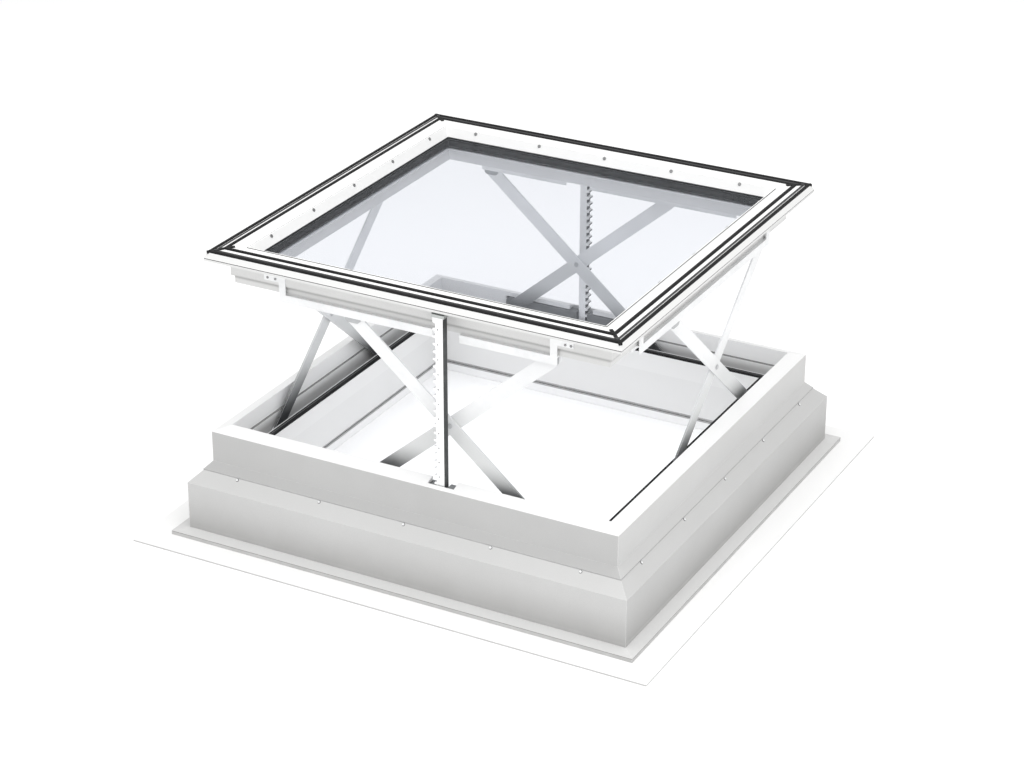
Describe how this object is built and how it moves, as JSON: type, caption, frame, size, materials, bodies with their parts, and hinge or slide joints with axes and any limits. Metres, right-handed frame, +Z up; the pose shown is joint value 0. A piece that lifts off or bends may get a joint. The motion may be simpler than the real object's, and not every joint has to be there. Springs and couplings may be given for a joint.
{
  "type": "smoke vent roof window",
  "caption": "Square roof window for smoke extraction: a flanged kerb and frame with a glazed sash lifted level on scissor arms and racks.",
  "frame": {"origin": "middle of the flange's flat underside, where it rests on the roof", "axes": "+Z up through the sash, +Y from the front side with the near rack to the back, +X to the right"},
  "size_m": [1.558, 1.558, 0.836],
  "materials": {
    "kerb": "smooth white moulded kerb",
    "frame": "white satin PVC profile",
    "sash": "white satin PVC profile",
    "seal": "black rubber",
    "spacer": "black edge seal",
    "glass": "clear, very slightly blue",
    "steel": "bright rolled stainless steel",
    "block": "light grey plastic and zinc pins",
    "rail": "white coated sheet steel",
    "rack": "light coated steel bar",
    "drive": "grey coated housing"
  },
  "bodies": {
    "root": {"kerb_front": "kerb", "kerb_right": "kerb", "kerb_back": "kerb", "kerb_left": "kerb", "frame_front": "frame", "frame_right": "frame", "frame_back": "frame", "frame_left": "frame", "frame_seal": "seal", "sash_front": "sash", "sash_right": "sash", "sash_back": "sash", "sash_left": "sash", "sash_gaskets": "seal", "glass_outer": "glass", "glass_inner": "glass", "glass_spacer": "spacer", "arm_front_outer": "steel", "arm_front_inner": "steel", "arm_right_outer": "steel", "arm_right_inner": "steel", "arm_back_outer": "steel", "arm_back_inner": "steel", "arm_left_outer": "steel", "arm_left_inner": "steel", "sliders_front": "block", "sliders_right": "block", "sliders_back": "block", "sliders_left": "block", "pivots_front": "block", "pivots_right": "block", "pivots_back": "block", "pivots_left": "block", "rail_lower_front": "rail", "rail_lower_right": "rail", "rail_lower_back": "rail", "rail_lower_left": "rail", "rail_upper_front": "rail", "rail_upper_right": "rail", "rail_upper_back": "rail", "rail_upper_left": "rail", "rack_front": "rack", "rack_back": "rack", "drive_front": "drive", "drive_back": "drive"}
  },
  "joints": []
}
